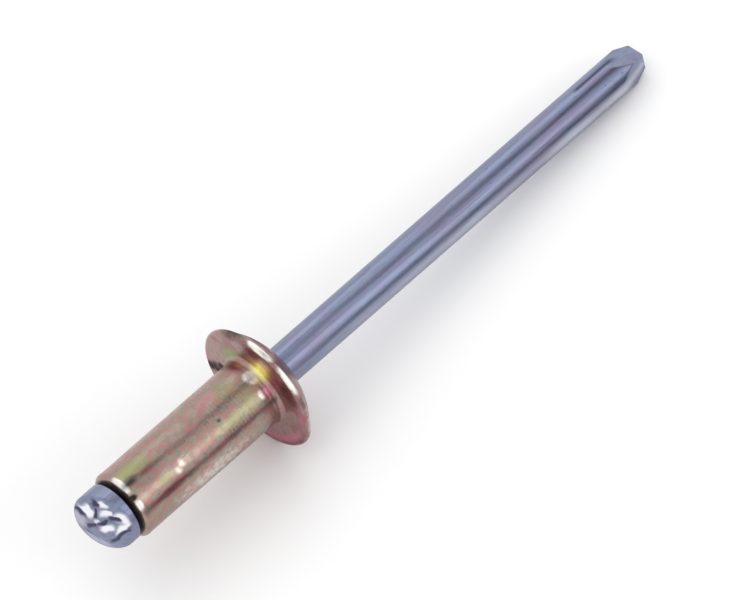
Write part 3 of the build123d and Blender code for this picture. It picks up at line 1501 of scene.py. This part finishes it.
@dataclass
class Studio:
    """A pale floor, a plain world and the lamps.

    Attributes:
        axis: The rivet's axis.
        view: The photograph's view, which the lamps are set by.
        lamps: The lamps.
        lamp_distance: How far they stand from the rivet.
        flags: Dark cards, which the rivet mirrors as dark lines and nothing else sees.
        flag_distance: How far they stand from the axis.
        flag_colour: Their colour.
        floor_colour: The floor's colour.
        floor_roughness: How dull it is.
        floor_width: Its width, in metres.
    """

    axis: RivetAxis
    view: PhotoView
    lamps: tuple[Card, ...] = (
        Card(across=11.0, width=90.0, length=260.0, brightness=1.14),
        Card(across=-36.0, width=110.0, length=260.0, brightness=0.68),
    )
    lamp_distance: float = 260.0
    flags: tuple[Card, ...] = (
        Card(across=-15.0, width=2.6, length=120.0),
        Card(across=32.5, width=8.2, length=120.0),
    )
    flag_distance: float = 16.0
    flag_colour: Colour = (0.02, 0.025, 0.10)
    floor_colour: Colour = (0.97, 0.97, 0.97)
    floor_roughness: float = 0.9
    floor_width: float = 4.0

    def build(self, lowest: float) -> None:
        """Lays the floor and sets up the light.

        Args:
            lowest: The height of the rivet's lowest point, in metres.
        """
        self._floor(lowest)
        self._world()
        for index, lamp in enumerate(self.lamps):
            self._lamp(f"softbox_{index}", lamp)
        for index, flag in enumerate(self.flags):
            self._flag(f"flag_{index}", flag)

    def _sheet(
        self, name: str, length: float, width: float, material: bpy.types.Material
    ) -> bpy.types.Object:
        """A flat sheet round the scene's origin.

        Args:
            name: Its name.
            length: Its length, along X, in metres.
            width: Its width, along Y, in metres.
            material: What it is made of.

        Returns:
            The sheet.
        """
        signs = ((-1, -1), (1, -1), (1, 1), (-1, 1))
        corners = [(x * length / 2, y * width / 2, 0.0) for x, y in signs]
        data = bpy.data.meshes.new(name)
        data.from_pydata(corners, [], [(0, 1, 2, 3)])
        data.materials.append(material)
        sheet = bpy.data.objects.new(name, data)
        bpy.context.scene.collection.objects.link(sheet)
        return sheet

    def _floor(self, lowest: float) -> None:
        """The floor, which keeps the rivet's shadow.

        Args:
            lowest: Its height, in metres.
        """
        material = Graph("floor").dress(Base_Color=self.floor_colour, Roughness=self.floor_roughness)
        floor = self._sheet("floor", self.floor_width, self.floor_width, material)
        floor.matrix_world = Matrix.Translation((0.0, 0.0, lowest))
        floor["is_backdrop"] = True

    def _world(self) -> None:
        """An even white world."""
        world = bpy.data.worlds.new("studio")
        world.use_nodes = True
        background = world.node_tree.nodes["Background"]
        background.inputs["Color"].default_value = (1.0, 1.0, 1.0, 1.0)
        background.inputs["Strength"].default_value = 1.0
        bpy.context.scene.world = world

    def _lamp(self, name: str, lamp: Card) -> None:
        """One softbox, facing the rivet.

        Args:
            name: Its name.
            lamp: Its place, size and brightness.
        """
        data = bpy.data.lights.new(name, "AREA")
        data.shape = "RECTANGLE"
        data.size = lamp.length * MILLIMETRE
        data.size_y = lamp.width * MILLIMETRE
        data.energy = lamp.brightness * pi * data.size * data.size_y
        light = bpy.data.objects.new(name, data)
        light.matrix_world = self._stand(lamp, self.lamp_distance)
        bpy.context.scene.collection.objects.link(light)
        light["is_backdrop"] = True

    def _flag(self, name: str, flag: Card) -> None:
        """One dark card that faces the rivet and that only its reflections show.

        Args:
            name: Its name.
            flag: Its place and size.
        """
        material = Graph(name).dress(Base_Color=self.flag_colour, Roughness=1.0)
        board = self._sheet(name, flag.length * MILLIMETRE, flag.width * MILLIMETRE, material)
        board.matrix_world = self._stand(flag, self.flag_distance)
        board.visible_camera = False
        board.visible_diffuse = False
        board.visible_shadow = False
        board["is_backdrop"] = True

    def _stand(self, card: Card, distance: float) -> Matrix:
        """Where a lamp or card stands so that its strip of the stem mirrors it to the camera.

        Args:
            card: The lamp or card.
            distance: How far it stands from the axis.

        Returns:
            Its place, with X along the rivet and Z away from it.
        """
        lean = radians(self.view.lean)
        side = self.axis.side(self.view.side_angle + 2.0 * card.across)
        toward = self.axis.along * sin(lean) + side * cos(lean)
        lengthwise = (self.axis.along - toward * self.axis.along.dot(toward)).normalized()
        turned = Matrix((lengthwise, toward.cross(lengthwise), toward)).transposed().to_4x4()
        return Matrix.Translation(toward * distance * MILLIMETRE) @ turned


def rest_tilt(body: RivetBody, mandrel: Mandrel) -> float:
    """How far the axis dips when the rivet rests on its rim and a flat of its point.

    Args:
        body: The body, whose half-round rim is one support.
        mandrel: The mandrel, whose point is the other.

    Returns:
        The dip in degrees.
    """
    half = body.rim_thickness / 2
    fall = body.flange_radius - half - mandrel.stem_radius
    reach = mandrel.point_start - half
    return degrees(atan2(fall, reach) + asin(half / hypot(fall, reach)))


def main() -> None:
    """Builds the rivet's pieces in order, then the camera and the studio."""
    logging.basicConfig(level=logging.INFO, format="%(name)s: %(message)s")
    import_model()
    cad_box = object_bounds()
    level_body = RivetBody(RivetAxis(tilt=0.0))
    level_mandrel = Mandrel(level_body.axis, body=level_body)
    axis = RivetAxis(rest_tilt(level_body, level_mandrel))
    body = RivetBody(axis)
    mandrel = Mandrel(axis, body=body)
    body.build(YellowPassivate().material(axis.tilt))
    mandrel.build(ZincPlate().material(axis.tilt))
    view = PhotoView()
    view.place(axis)
    Studio(axis, view).build(cad_box[0][2])
    bpy.context.scene.view_settings.view_transform = "Standard"


if __name__ == "__main__":
    main()
